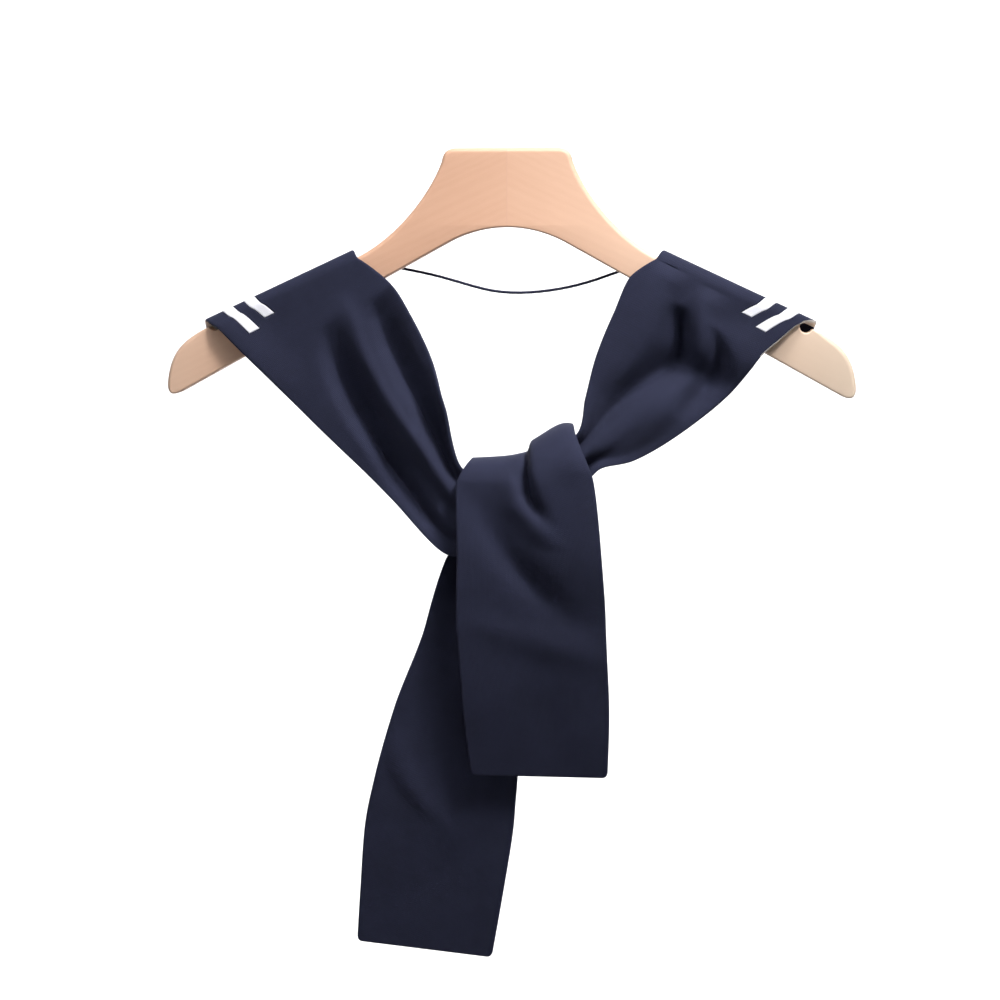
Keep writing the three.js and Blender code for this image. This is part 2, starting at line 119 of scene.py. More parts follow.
# Stripes, measured along the arm from the outer hem. Their end seam is a share of a section.
STRIPE_MARGIN = 0.0125
STRIPE_WIDTH = 0.0075
STRIPE_GAP = 0.0075
OUTER_STRIPE_FRONT = 0.027
INNER_STRIPE_FRONT = 0.021
STRIPE_INSET = 0.003
INLAY_DEPTH = 0.0007
STRIPE_SEAM = 0.00012
STRIPE_END_SEAM = 0.004
STRIPE_PROUD = 0.00012
STRIPE_SEAT_GAP = 0.0001
STRIPE_SIDE = 0.0003
STRIPE_RIM = [0.0, 0.00015, 0.0005]
STRIPE_COLUMNS = 7
STRIPE_ROW_MARGIN = 0.01

# Hems: the rounded corners, and how far the right hem is drawn in at these section
# numbers, so that the arm's notch shows under it
HEM_CORNER = 0.0035
HEM_INSET_AT = [0.7, 1.3, 2.0, 2.6, 3.1, 3.7, 4.4]
HEM_INSET = [0, 0.0035, 0.0008, 0.0056, 0.0050, 0.0018, 0]
HEM_INSET_REACH = 0.0085

# Pale yarn on the reverse of the shoulders and on the hem's rim, in metres from the outer
# hem, and the section numbers where each starts and ends on the left (-1) and right (1)
PALE_WIDTH = 0.042
PALE_START = {-1: 0, 1: 1.6}
PALE_END = 3.6
PALE_RIM = 0.0007
PALE_RIM_END = {-1: 2.2, 1: 4.2}

# Knit: the size of a stitch, the mesh's steps along, in degrees of turning and across, and
# the digits to which shares across are rounded
WALE = 0.0017
COURSE = 0.0013
ROW_STEP = 0.0017
ROW_TURN = 5.0
COLUMN_STEP = 0.0016
SHARE_DIGITS = 7

# Steps for measuring along a panel and for its normals, in sections and shares across
SAMPLES_PER_SECTION = 300
WALK_STEP = 0.002
NORMAL_STEP_ALONG = 0.02
NORMAL_STEP_ACROSS = 0.008

# Neck cord
CORD_DIAMETER = 0.0018

# Camera
CAMERA_PLACE = (0.1017, -1.2136, -0.0542)
CAMERA_TARGET = (-0.0020, -0.0287, -0.2129)
CAMERA_LENS = 70.8
CAMERA_SENSOR = 36
CAMERA_NEAR = 0.01

HALF_CLOTH = CLOTH / 2


# Camera in front of the collar, a little to the right and above its middle
def make_camera():
    data = bpy.data.cameras.new("camera")
    data.lens = CAMERA_LENS
    data.sensor_width = CAMERA_SENSOR
    data.clip_start = CAMERA_NEAR
    camera = bpy.data.objects.new("camera", data)
    camera.location = CAMERA_PLACE
    aim = Vector(CAMERA_TARGET) - Vector(CAMERA_PLACE)
    camera.rotation_euler = aim.to_track_quat("-Z", "Y").to_euler()
    bpy.context.scene.collection.objects.link(camera)
    bpy.context.scene.camera = camera


make_camera()


# Node materials
class Nodes:
    """A short way to write a material's nodes."""

    def __init__(self, name):
        self.material = bpy.data.materials.new(name)
        self.material.use_nodes = True
        self.tree = self.material.node_tree
        self.shader = self.tree.nodes["Principled BSDF"]

    def add(self, kind, **settings):
        made = self.tree.nodes.new(kind)
        for key, value in settings.items():
            setattr(made, key, value)
        return made

    def link(self, source, target):
        if isinstance(source, bpy.types.NodeSocket):
            self.tree.links.new(source, target)
        else:
            target.default_value = source

    def math(self, operation, a, b=0.0):
        made = self.add("ShaderNodeMath", operation=operation)
        self.link(a, made.inputs[0])
        self.link(b, made.inputs[1])
        return made.outputs[0]

    def noise(self, vector, scale, detail=2.0, roughness=0.5):
        made = self.add("ShaderNodeTexNoise")
        self.link(vector, made.inputs["Vector"])
        made.inputs["Scale"].default_value = scale
        made.inputs["Detail"].default_value = detail
        made.inputs["Roughness"].default_value = roughness
        return made.outputs["Fac"]

    def ramp(self, factor, low, high):
        made = self.add("ShaderNodeMapRange")
        self.link(factor, made.inputs["Value"])
        made.inputs["To Min"].default_value = low
        made.inputs["To Max"].default_value = high
        return made.outputs["Result"]

    def mix(self, factor, a, b):
        made = self.add("ShaderNodeMix", data_type="RGBA")
        self.link(factor, made.inputs["Factor"])
        self.link(a, made.inputs["A"])
        self.link(b, made.inputs["B"])
        return made.outputs["Result"]

    def bump(self, height, strength, distance, base=None):
        made = self.add("ShaderNodeBump")
        made.inputs["Strength"].default_value = strength
        made.inputs["Distance"].default_value = distance
        self.link(height, made.inputs["Height"])
        if base is not None:
            self.link(base, made.inputs["Normal"])
        return made.outputs["Normal"]


# Colours
def linear(red, green, blue):
    """A display colour, 0 to 255, as the linear colour that a shader takes, by the standard curve."""
    channels = [c / 255 for c in (red, green, blue)]
    return (*[c / 12.92 if c <= 0.04045 else ((c + 0.055) / 1.055) ** 2.4 for c in channels], 1.0)


# Stitches: the slant of a leg or loop in rows, how much the relief falls between rows on
# the face and between loops on the reverse, and how full a leg is
FACE_SLANT = 0.62
REVERSE_SLANT = 0.22
FACE_ROW_FALL = 0.55
REVERSE_LOOP_FALL = 0.45
LEG_FULLNESS = 0.7

# What each layer adds to the mix between the yarn's deep and high colours; the stitch layer is
# painted shade, darker in the grooves between stitches and lighter on their crowns
STITCH_GROOVE_SHADE = 0.30
FIBRE_TONE = 0.55
MOTTLE_TONE = 0.13
ROW_TONE = 0.04


def stitch_height(nodes, wales, courses, reverse):
    """The relief of knitted stitches: slanted legs on the face, rounded loops on the reverse."""
    across = nodes.math("PINGPONG", wales, 0.5)
    edge = nodes.math("SUBTRACT", 1.0, nodes.math("MULTIPLY", across, 2.0))
    slant = nodes.math("MULTIPLY", edge, REVERSE_SLANT if reverse else FACE_SLANT)
    phase = nodes.math("MULTIPLY", nodes.math("ADD", courses, slant), math.pi)
    loop = nodes.math("ABSOLUTE", nodes.math("SINE", phase))
    if reverse:
        side = nodes.math("ADD", nodes.math("MULTIPLY", edge, REVERSE_LOOP_FALL), 1 - REVERSE_LOOP_FALL)
        return nodes.math("MULTIPLY", loop, side)
    away = nodes.math("SUBTRACT", nodes.math("MULTIPLY", edge, 2.0), 1.0)
    leg = nodes.math("SUBTRACT", 1.0, nodes.math("MULTIPLY", away, away))
    rounded = nodes.math("ADD", nodes.math("MULTIPLY", loop, FACE_ROW_FALL), 1 - FACE_ROW_FALL)
    return nodes.math("MULTIPLY", nodes.math("POWER", leg, LEG_FULLNESS), rounded)


def knit_material(name, deep, high, reverse=False, relief=0.42, sheen=0.35):
    """Fine knit: U counts the stitches across and V the rows along."""
    nodes = Nodes(name)
    uv = nodes.add("ShaderNodeUVMap", uv_map="stitches").outputs["UV"]
    parts = nodes.add("ShaderNodeSeparateXYZ")
    nodes.link(uv, parts.inputs[0])
    place = nodes.add("ShaderNodeTexCoord").outputs["Object"]
    wobble = nodes.ramp(nodes.noise(place, scale=160.0), low=-0.18, high=0.18)
    wales = nodes.math("ADD", parts.outputs["X"], wobble)
    courses = nodes.math("ADD", parts.outputs["Y"], wobble)
    height = stitch_height(nodes, wales, courses, reverse)
    fibre = nodes.noise(place, scale=2600.0, detail=3.0, roughness=0.7)
    mottle = nodes.noise(place, scale=38.0, detail=4.0, roughness=0.6)
    rows = nodes.noise(parts.outputs["Y"], scale=0.9)
    # Painted shade from the stitches' relief: darker in the grooves between them, lighter on their crowns
    stitch_groove_shade = nodes.math("MULTIPLY", height, STITCH_GROOVE_SHADE)
    tone = nodes.math("ADD", stitch_groove_shade, nodes.math("MULTIPLY", fibre, FIBRE_TONE))
    tone = nodes.math("ADD", tone, nodes.ramp(mottle, -MOTTLE_TONE, MOTTLE_TONE))
    tone = nodes.math("ADD", tone, nodes.ramp(rows, -ROW_TONE, ROW_TONE))
    nodes.link(nodes.mix(tone, deep, high), nodes.shader.inputs["Base Color"])
    nodes.link(nodes.ramp(fibre, low=0.82, high=0.98), nodes.shader.inputs["Roughness"])
    fuzz = nodes.bump(fibre, strength=0.25, distance=0.0002)
    stitches = nodes.bump(height, strength=relief, distance=0.0003, base=fuzz)
    nodes.link(stitches, nodes.shader.inputs["Normal"])
    nodes.shader.inputs["Sheen Weight"].default_value = sheen
    nodes.shader.inputs["Sheen Roughness"].default_value = 0.45
    nodes.shader.inputs["Sheen Tint"].default_value = high
    nodes.shader.inputs["Specular IOR Level"].default_value = 0.25
    return nodes.material


# Wood: the grain's stretch along an arm, the distance that parts the two arms' patterns,
# the rings' waves to a metre, the joint's place and half width, and painted light: the wood
# mixed paler away from a point left of the middle, most at the right end
GRAIN_STRETCH = 0.09
BOARD_OFFSET = 3.0
RING_WAVES = 1150.0
JOINT_X = 0.0002
JOINT_HALF_WIDTH = 0.00028
PAINTED_LIGHT_FROM_X = -0.055
PAINTED_LIGHT_RATE = 13.0

# What each layer of the wood adds to the mix of its two browns
RING_TONE = 0.07
PORE_TONE = 0.28
SIDE_TONE = 0.03

WOOD_DEEP = linear(206, 158, 130)
WOOD_HIGH = linear(232, 193, 166)
# The pale colour of the painted light towards the hanger's ends
WOOD_PAINTED_LIGHT = linear(255, 232, 208)
WOOD_JOINT = linear(214, 170, 146)


def wood_material():
    """Pale close-grained wood, its grain along each arm, with a faint joint down the middle."""
    nodes = Nodes("pale_wood")
    place = nodes.add("ShaderNodeTexCoord").outputs["Object"]
    parts = nodes.add("ShaderNodeSeparateXYZ")
    nodes.link(place, parts.inputs[0])
    x = parts.outputs["X"]
    z = parts.outputs["Z"]
    side = nodes.math("SIGN", x)
    slope = math.tan(math.radians(ARM_SLOPE))
    level = nodes.math("ADD", z, nodes.math("MULTIPLY", nodes.math("ABSOLUTE", x), slope))
    depth = nodes.math("ADD", parts.outputs["Y"], nodes.math("MULTIPLY", side, BOARD_OFFSET))
    board = nodes.add("ShaderNodeCombineXYZ")
    nodes.link(nodes.math("MULTIPLY", x, GRAIN_STRETCH), board.inputs["X"])
    nodes.link(depth, board.inputs["Y"])
    nodes.link(level, board.inputs["Z"])
    grain = board.outputs[0]
    drift = nodes.ramp(nodes.noise(grain, scale=22.0), low=-0.012, high=0.012)
    rings = nodes.math("MULTIPLY", nodes.math("ADD", level, drift), RING_WAVES)
    ring = nodes.math("ADD", nodes.math("MULTIPLY", nodes.math("SINE", rings), 0.5), 0.5)
    pores = nodes.noise(grain, scale=1500.0, detail=3.0, roughness=0.65)
    broad = nodes.noise(grain, scale=45.0, detail=3.0)
    off_joint = nodes.math("ABSOLUTE", nodes.math("SUBTRACT", x, JOINT_X))
    joint = nodes.math("LESS_THAN", nodes.ramp(off_joint, low=0.0, high=1.0), JOINT_HALF_WIDTH)
    ring_tone = nodes.math("MULTIPLY", ring, RING_TONE)
    tone = nodes.math("ADD", ring_tone, nodes.math("MULTIPLY", pores, PORE_TONE))
    tone = nodes.math("ADD", tone, nodes.ramp(broad, low=-0.05, high=0.35))
    tone = nodes.math("ADD", tone, nodes.math("MULTIPLY", side, SIDE_TONE))
    # Painted light: the wood is mixed towards a paler colour by the square of the distance from a point
    # left of the middle, so it pales towards both ends, most at the right, where the light falls
    from_painted_light_low = nodes.math("SUBTRACT", x, PAINTED_LIGHT_FROM_X)
    ends = nodes.math("MULTIPLY", nodes.math("MULTIPLY", from_painted_light_low, from_painted_light_low), PAINTED_LIGHT_RATE)
    colour = nodes.mix(tone, WOOD_DEEP, WOOD_HIGH)
    colour = nodes.mix(ends, colour, WOOD_PAINTED_LIGHT)
    nodes.link(nodes.mix(joint, colour, WOOD_JOINT), nodes.shader.inputs["Base Color"])
    nodes.link(nodes.ramp(pores, low=0.42, high=0.62), nodes.shader.inputs["Roughness"])
    nodes.link(nodes.bump(pores, strength=0.12, distance=0.0002), nodes.shader.inputs["Normal"])
    nodes.shader.inputs["Specular IOR Level"].default_value = 0.4
    nodes.shader.inputs["Coat Weight"].default_value = 0.12
    nodes.shader.inputs["Coat Roughness"].default_value = 0.35
    return nodes.material


NAVY_DEEP = linear(15, 15, 25)
NAVY_HIGH = linear(51, 55, 82)
WHITE_DEEP = linear(222, 222, 232)
WHITE_HIGH = linear(252, 252, 255)
PALE_DEEP = linear(196, 190, 186)
PALE_HIGH = linear(250, 246, 242)

navy_face = knit_material("navy_face", NAVY_DEEP, NAVY_HIGH)
navy_reverse = knit_material("navy_reverse", NAVY_DEEP, NAVY_HIGH, reverse=True)
pale_reverse = knit_material("pale_reverse", PALE_DEEP, PALE_HIGH, reverse=True, relief=0.8, sheen=0.1)
white_face = knit_material("white_face", WHITE_DEEP, WHITE_HIGH, relief=0.5, sheen=0.1)
cord_yarn = knit_material("cord_yarn", NAVY_DEEP, NAVY_HIGH, reverse=True, relief=0.3)
pale_wood = wood_material()


# Meshes
def unit(vectors):
    return vectors / np.linalg.norm(vectors, axis=-1, keepdims=True)


def length_along(line):
    """How far along a line of points each of them lies."""
    return np.concatenate([[0], np.cumsum(np.linalg.norm(np.diff(line, axis=0), axis=1))])


def mesh_object(name, vertices, faces, materials, face_materials=None, stitches=None):
    """A smooth mesh. Stitches are counts across and rows along, one pair for each vertex."""
    mesh = bpy.data.meshes.new(name)
    mesh.from_pydata([tuple(v) for v in vertices], [], [tuple(int(i) for i in face) for face in faces])
    for material in materials:
        mesh.materials.append(material)
    if face_materials is not None:
        mesh.polygons.foreach_set("material_index", np.asarray(face_materials, dtype=np.int32))
    if stitches is not None:
        layer = mesh.uv_layers.new(name="stitches")
        corners = np.zeros(len(mesh.loops), dtype=np.int32)
        mesh.loops.foreach_get("vertex_index", corners)
        layer.data.foreach_set("uv", np.asarray(stitches, dtype=np.float32)[corners].ravel())
    mesh.polygons.foreach_set("use_smooth", np.ones(len(mesh.polygons), dtype=bool))
    mesh.update()
    piece = bpy.data.objects.new(name, mesh)
    bpy.context.scene.collection.objects.link(piece)
    return piece


# Neck cord: its route, and a tube of three twisted strands along it
CORD_ROUTE = [
    (-0.0953, 0.0075, -0.0687), (-0.0920, 0.0077, -0.0689), (-0.0870, 0.0080, -0.0696),
    (-0.0780, 0.0080, -0.0710), (-0.0680, 0.0080, -0.0729), (-0.0580, 0.0080, -0.0748),
    (-0.0460, 0.0080, -0.0774), (-0.0340, 0.0080, -0.0806), (-0.0220, 0.0080, -0.0840),
    (-0.0100, 0.0080, -0.0868), (0.0030, 0.0080, -0.0880), (0.0160, 0.0080, -0.0876),
    (0.0280, 0.0080, -0.0862), (0.0400, 0.0080, -0.0839), (0.0520, 0.0080, -0.0806),
    (0.0630, 0.0080, -0.0768), (0.0740, 0.0080, -0.0730), (0.0830, 0.0080, -0.0706),
    (0.0880, 0.0080, -0.0695), (0.0920, 0.0077, -0.0689), (0.0953, 0.0075, -0.0687),
]
CORD_STRANDS = 3
CORD_TWIST = 0.0060
CORD_GROOVE = 0.10
CORD_GROOVE_SHARPNESS = 0.6
CORD_WALES = 8
CORD_RING = 18
CORD_STEP = 0.0006
ROUTE_PIECES = 24


def smooth_route(points, step):
    """Points evenly spaced on a smooth curve through the given ones."""
    given = np.array(points)
    ends = np.vstack([2 * given[0] - given[1], given, 2 * given[-1] - given[-2]])
    fine = []
    for a, b, c, d in zip(ends[:-3], ends[1:-2], ends[2:-1], ends[3:]):
        for f in np.linspace(0, 1, ROUTE_PIECES, endpoint=False):
            square = (2 * a - 5 * b + 4 * c - d) * f**2
            cube = (3 * b - a - 3 * c + d) * f**3
            fine.append(0.5 * (2 * b + (c - a) * f + square + cube))
    fine = np.array([*fine, given[-1]])
    gone = length_along(fine)
    places = np.linspace(0, gone[-1], int(round(gone[-1] / step)) + 1)
    return np.stack([np.interp(places, gone, fine[:, k]) for k in range(3)], axis=1), gone[-1]


def make_cord():
    route, length = smooth_route(CORD_ROUTE, CORD_STEP)
    along = unit(np.gradient(route, axis=0))
    side = unit(np.cross(along, (0.0, 1.0, 0.0)))
    up = np.cross(side, along)
    angles = np.linspace(0, 2 * math.pi, CORD_RING, endpoint=False)
    gone = np.linspace(0, length, len(route))
    turn = CORD_STRANDS * angles[None, :] - 2 * math.pi * gone[:, None] / CORD_TWIST
    groove = 1 - np.abs(np.cos(turn / 2)) ** CORD_GROOVE_SHARPNESS
    radius = CORD_DIAMETER / 2 * (1 - CORD_GROOVE * groove)
    sideways = np.cos(angles)[None, :, None] * side[:, None, :]
    upwards = np.sin(angles)[None, :, None] * up[:, None, :]
    points = (route[:, None, :] + radius[:, :, None] * (sideways + upwards)).reshape(-1, 3)
    last_ring = (len(route) - 1) * CORD_RING
    faces = []
    for start in range(0, last_ring, CORD_RING):
        for j in range(CORD_RING):
            k = (j + 1) % CORD_RING
            faces.append((start + j, start + k, start + CORD_RING + k, start + CORD_RING + j))
    faces.append(tuple(reversed(range(CORD_RING))))
    faces.append(tuple(range(last_ring, last_ring + CORD_RING)))
    stitches = [(CORD_WALES * j / CORD_RING, s / COURSE) for s in gone for j in range(CORD_RING)]
    cord = mesh_object("neck_cord_yarn", points, faces, [cord_yarn], stitches=stitches)
    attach(cord, "root")
    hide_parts("neck_cord")


make_cord()


def between(values, t):
    """Smooth interpolation through equally spaced values, without overshooting them."""
    values = np.asarray(values, dtype=float)
    last = len(values) - 1
    place = np.clip(t, 0, last)
    i = np.minimum(place.astype(int), last - 1)
    f = place - i
    steps = np.diff(values)
    before, after = steps[:-1], steps[1:]
    same = before * after > 0
    middle = np.where(same, 2 * before * after / np.where(same, before + after, 1), 0)
    slopes = np.concatenate([[0.5 * steps[0]], middle, [0.5 * steps[-1]]])
    return (values[i] * (2 * f**3 - 3 * f**2 + 1) + values[i + 1] * (3 * f**2 - 2 * f**3)
            + slopes[i] * (f**3 - 2 * f**2 + f) + slopes[i + 1] * (f**3 - f**2))


# Layers of cloth through the knot, as depths of each layer's middle
ARM_REACH = HANGER_THICKNESS / 2 + ARM_CLEARANCE + HALF_CLOTH
BUNDLE_Y = -(ARM_REACH + STRAP_FORWARD)
WRAP_REACH = BUNDLE_DEPTH / 2 + CLOTH + CLEARANCE + WRAP_SLACK
BACK_PASS_Y = BUNDLE_Y + WRAP_REACH
TAIL_TOP_Y = BUNDLE_Y - WRAP_REACH - CLOTH - FOLD_SLACK
TAIL_REST_Y = BUNDLE_Y - CLOTH - WRAP_SLACK
FOLD_AXIS_Y = (BACK_PASS_Y + TAIL_TOP_Y) / 2
FOLD_REACH = (BACK_PASS_Y - TAIL_TOP_Y) / 2


def arm_top_z(x):
    return -ARM_ROOT_DROP - (abs(x) - ARM_ROOT_X) * math.tan(math.radians(ARM_SLOPE))


SHOULDER_X = NECK_GAP / 2 + SHOULDER_WIDTH / 2 * math.cos(math.radians(ARM_SLOPE))
SHOULDER_Z = arm_top_z(SHOULDER_X) - CREST_INSET
KNOT_X = KNOT_SHIFT
KNOT_Z = SHOULDER_Z - STRAP_DROP
CREST_SECTION = 2

# The sections of a panel: a centre on an axis, a lean across, and a roll about it.
# A roll of 0 or 360 faces the front, -90 and 270 face up, 180 and -180 face the back.
FULL_TURN = 360
KEYS = ("x", "z", "axis_y", "reach", "rise", "lean", "roll", "width", "gather")


def arm_sections(side):
    """The lappet's end and top behind the arm, the crest and the first section in front."""
    lean = -side * ARM_SLOPE
    tilt = math.radians(ARM_SLOPE)
    rows = []
    for skew, drop, roll, width in [
        (-CREST_SKEW, LAPPET_LENGTH, -180, 1),
        (-CREST_SKEW, 0, -180, 1),
        (0, 0, -90, 1),
        (FRONT_SKEW, 0, -CREST_TURN, FRONT_NARROWING),
    ]:
        x = side * (SHOULDER_X - skew * math.cos(tilt))
        z = SHOULDER_Z + skew * math.sin(tilt) - drop
        rows.append((x, z, 0, ARM_REACH, ARM_REACH, lean, roll, SHOULDER_WIDTH * width, 0))
    return rows


# Columns: across and down as shares of the way from shoulder to knot, depth as a share
# of the way to the knot's layer, lean in degrees, width as a share of the shoulder's,
# gather as a share of the bundle's depth.
LEFT_STRAP = [
    (0.17, 0.13, 0.04, 33, 0.940, 0.00),
    (0.31, 0.33, 0.18, 41, 0.870, 0.00),
    (0.45, 0.55, 0.42, 50, 0.775, 0.02),
    (0.57, 0.77, 0.70, 61, 0.665, 0.05),
]
RIGHT_STRAP = [
    (0.17, 0.07, 0.10, -29, 0.910, 0.00),
    (0.30, 0.27, 0.35, -34, 0.830, 0.02),
    (0.45, 0.465, 0.65, -41, 0.680, 0.08),
    (0.59, 0.64, 0.90, -51, 0.470, 0.20),
]


def strap_sections(side, rows, layer_y, layer_reach):
    from_x = side * SHOULDER_X
    return [(
        from_x + (KNOT_X - from_x) * across,
        SHOULDER_Z + (KNOT_Z - SHOULDER_Z) * down,
        layer_y * depth,
        ARM_REACH + (layer_reach - ARM_REACH) * depth,
        ARM_REACH,
        lean,
        0,
        SHOULDER_WIDTH * width,
        gather * BUNDLE_DEPTH,
    ) for across, down, depth, lean, width, gather in rows]


# Columns: right and up from the knot's middle as shares of the knot's size, lean,
# roll, width as a share of the tail's, gather as a share of the bundle's depth.
LEFT_WRAP = [
    (-0.675, -0.115, 79, 0, 0.60, 0.12),
    (-0.20, -0.20, 66, 0, 0.54, 0.15),
    (0.20, -0.25, 52, 0, 0.55, 0.12),
    (0.20, -0.25, 52, 90, 0.55, 0.12),
    (0.20, -0.25, 52, 180, 0.56, 0.12),
    (0.12, 0.03, 30, 180, 0.70, 0.08),
]
RIGHT_CROSS = [
    (0.63, 0.50, -60, 0, 0.29, 0.36),
    (0.38, 0.26, -52, 0, 0.31, 0.38),
    (0.05, -0.02, -43, 0, 0.34, 0.40),
    (-0.20, -0.37, -36, 0, 0.42, 0.34),
    (-0.44, -0.83, -26, 0, 0.58, 0.24),
]


def knot_sections(rows, reach):
    return [(
        KNOT_X + right * KNOT_SIZE,
        KNOT_Z + up * KNOT_SIZE,
        BUNDLE_Y,
        reach,
        max(reach, ARM_REACH),
        lean,
        roll,
        TAIL_WIDTH * width,
        gather * BUNDLE_DEPTH,
    ) for right, up, lean, roll, width, gather in rows]


# The left panel comes up behind the knot and folds over it to fall in front.
# Columns: right and up as in the knot, roll, reach and rise as shares of the fold's
# reach, width as a share of the tail's.
TOP_FOLD = [
    (0.00, 0.28, 180, 1.00, 0.55, 0.74),
    (-0.01, 0.30, 270, 1.00, 0.55, 0.705),
    (0.02, 0.20, 345, 1.00, 0.55, 0.93),
]


def fold_sections():
    return [(
        KNOT_X + right * KNOT_SIZE,
        KNOT_Z + up * KNOT_SIZE,
        FOLD_AXIS_Y,
        FOLD_REACH * reach,
        FOLD_REACH * rise,
        FOLD_LEAN,
        roll,
        TAIL_WIDTH * width,
        0,
    ) for right, up, roll, reach, rise, width in TOP_FOLD]


# Columns: right as a share of the tail's width, down as a share of its length, how far
# the layer has come back towards the bundle, lean, width as a share of the tail's,
# gather as a share of the bundle's depth.
FRONT_TAIL = [
    (0.05, 0.20, -0.20, 0, 0.99, 0),
    (0.06, 0.42, -0.08, 0, 1.02, 0),
    (0.09, 0.72, 0.22, 0, 1.01, 0),
    (0.11, 1.00, 0.60, 0, 0.95, 0),
]
BACK_TAIL = [
    (-0.32, 0.30, 0.10, -14, 0.77, 0.12),
    (-0.47, 0.48, 0.20, -10, 0.91, 0.06),
    (-0.56, 0.63, 0.30, -7, 1.01, 0.03),
    (-0.61, 0.73, 0.35, -4, 1.05, 0),
    (-0.67, 0.885, 0.40, -4, 1.01, 0),
    (-0.715, 1.00, 0.45, -5.5, 0.97, 0),
]


def tail_sections(rows, length, layer_y, rest_y, roll):
    return [(
        KNOT_X + right * TAIL_WIDTH,
        KNOT_Z - down * length,
        0,
        -(layer_y + (rest_y - layer_y) * back),
        FOLD_REACH,
        lean,
        roll,
        TAIL_WIDTH * width,
        gather * BUNDLE_DEPTH,
    ) for right, down, back, lean, width, gather in rows]


# Folds that run along a panel. Columns: section number, place as a share of the width,
# height outwards as a share of the bundle's depth, spread towards the left edge and
# spread towards the right edge as shares of the width.
LEFT_FOLDS = [
    # hollow under the arm, with a sharp brink on its outer side
    [
        (4.00, 0.52, 0.00, 0.06, 0.16), (4.50, 0.42, -0.60, 0.06, 0.18),
        (5.00, 0.33, -1.10, 0.055, 0.21), (5.60, 0.26, -1.30, 0.055, 0.24),
        (6.70, 0.19, -1.20, 0.07, 0.27), (7.40, 0.18, -0.75, 0.09, 0.26), (8.10, 0.22, 0.00, 0.10, 0.24),
    ],
    # ridge that falls off sharply on its inner side
    [
        (3.60, 0.70, 0.00, 0.12, 0.06), (4.20, 0.66, 0.25, 0.12, 0.06), (5.00, 0.58, 0.45, 0.11, 0.05),
        (6.00, 0.53, 0.50, 0.12, 0.05), (7.10, 0.57, 0.45, 0.12, 0.05), (8.00, 0.68, 0.00, 0.10, 0.06),
    ],
    # second hollow, along the inner edge
    [
        (4.10, 0.86, 0.00, 0.05, 0.16), (4.50, 0.80, -0.60, 0.05, 0.16), (5.10, 0.74, -1.10, 0.05, 0.17),
        (6.00, 0.70, -1.20, 0.05, 0.18), (6.90, 0.70, -1.10, 0.05, 0.16),
        (7.50, 0.77, -0.60, 0.06, 0.14), (8.10, 0.85, 0.00, 0.06, 0.10),
    ],
    # inner edge turned forwards beside the knot
    [
        (5.80, 1.00, 0.00, 0.06, 0.05), (6.80, 0.99, 0.50, 0.07, 0.05), (7.40, 0.98, 0.40, 0.08, 0.05),
        (8.00, 0.96, 0.00, 0.06, 0.05),
    ],
    # loop over the knot: a broad rise, and a step on its left
    [
        (14.00, 0.95, 0.00, 0.32, 0.30), (14.60, 0.96, 1.15, 0.30, 0.30),
        (15.00, 0.96, 1.80, 0.28, 0.26), (15.50, 0.96, 1.55, 0.27, 0.30),
        (16.20, 0.96, 1.10, 0.26, 0.34), (17.00, 0.96, 0.55, 0.26, 0.34),
        (18.00, 0.96, 0.00, 0.26, 0.34),
    ],
    [
        (14.40, 0.62, 0.00, 0.04, 0.25), (14.90, 0.61, 0.40, 0.035, 0.25),
        (15.40, 0.60, 0.60, 0.03, 0.25), (16.10, 0.58, 0.60, 0.03, 0.20),
        (16.40, 0.62, 0.30, 0.05, 0.15), (16.70, 0.68, 0.00, 0.08, 0.12),
    ],
    # pit beside the step, and the soft ridge round it
    [
        (14.80, 0.555, 0.00, 0.05, 0.03), (15.30, 0.555, -0.35, 0.05, 0.03),
        (15.90, 0.53, -0.74, 0.06, 0.035), (16.25, 0.53, -0.68, 0.06, 0.045),
        (16.45, 0.58, -0.30, 0.06, 0.06), (16.65, 0.64, 0.00, 0.06, 0.06),
    ],
    [
        (15.60, 0.38, 0.00, 0.10, 0.05), (16.00, 0.40, 0.25, 0.12, 0.05),
        (16.40, 0.46, 0.40, 0.12, 0.07), (16.65, 0.58, 0.25, 0.12, 0.10),
        (16.85, 0.68, 0.00, 0.10, 0.10),
    ],
    # outer hem lifted off the arm
    [
        (2.30, 0.00, 0.00, 0.10, 0.12), (2.90, 0.00, 0.25, 0.10, 0.12), (3.60, 0.00, 0.50, 0.10, 0.16),
        (4.20, 0.00, 0.35, 0.10, 0.16), (5.00, 0.00, 0.00, 0.10, 0.14),
    ],
]

